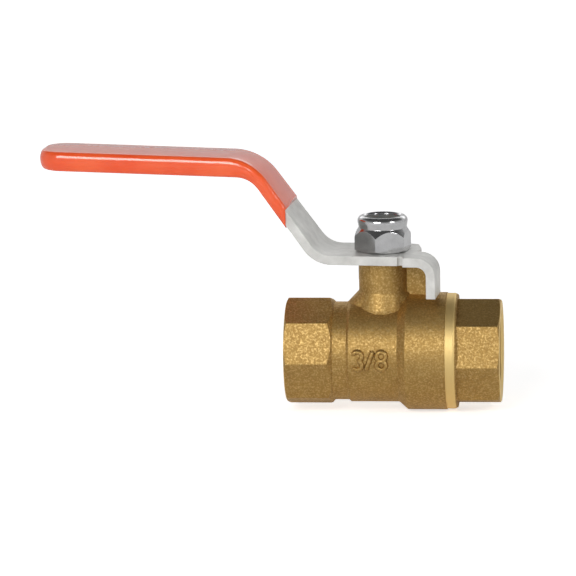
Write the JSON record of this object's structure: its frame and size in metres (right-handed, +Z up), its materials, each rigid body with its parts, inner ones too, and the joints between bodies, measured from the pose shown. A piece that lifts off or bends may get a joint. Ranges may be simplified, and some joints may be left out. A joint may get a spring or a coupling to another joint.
{
  "type": "water shutoff valve",
  "caption": "Small brass ball valve with female threaded ends and a bent steel lever with a dipped plastic grip, which turns a quarter between open and closed.",
  "frame": {"origin": "centre of the inlet end's mouth, on the flow axis", "axes": "+X along the flow from the inlet to the outlet, +Z up the stem towards the lever, +Y to the back; the lever at rest points to -X, turned 4.5 degrees towards closed"},
  "size_m": [0.0915, 0.0232, 0.0517],
  "materials": {
    "forged_brass": "blasted forging, matte, with bright turned bands",
    "nickelled_brass": "turned, with a dull plating",
    "chromed_brass": "polished plating",
    "zinc_steel": "zinc plated pressed steel, satin",
    "plated_nut": "bright zinc plating",
    "dipped_vinyl": "glossy dip coating",
    "ptfe": "smooth",
    "nylon": "smooth",
    "seal_rubber": "smooth"
  },
  "bodies": {
    "valve": {"valve_body": "forged_brass", "end_cap": "forged_brass", "seat_ring_inlet": "ptfe", "seat_ring_outlet": "ptfe", "stem_thrust_washer": "ptfe"},
    "handle": {"lever": "zinc_steel", "grip_coating": "dipped_vinyl", "lock_nut": "plated_nut", "lock_nut_insert": "nylon", "stem": "nickelled_brass", "stem_o_ring_lower": "seal_rubber", "stem_o_ring_upper": "seal_rubber"},
    "ball": {"ball": "chromed_brass"}
  },
  "joints": [
    {"name": "handle_turn", "type": "hinge", "parent": "valve", "child": "handle", "pos_m": [0.0192, 0, 0.018], "axis": [0, 0, 1], "range_deg": [-85.5, 4.5]},
    {"name": "ball_turn", "type": "hinge", "parent": "valve", "child": "ball", "pos_m": [0.0192, 0, 0], "axis": [0, 0, 1], "range_deg": [-85.5, 4.5]}
  ],
  "couplings": [
    {"joint": "ball_turn", "follows": "handle_turn", "ratio": 1}
  ]
}
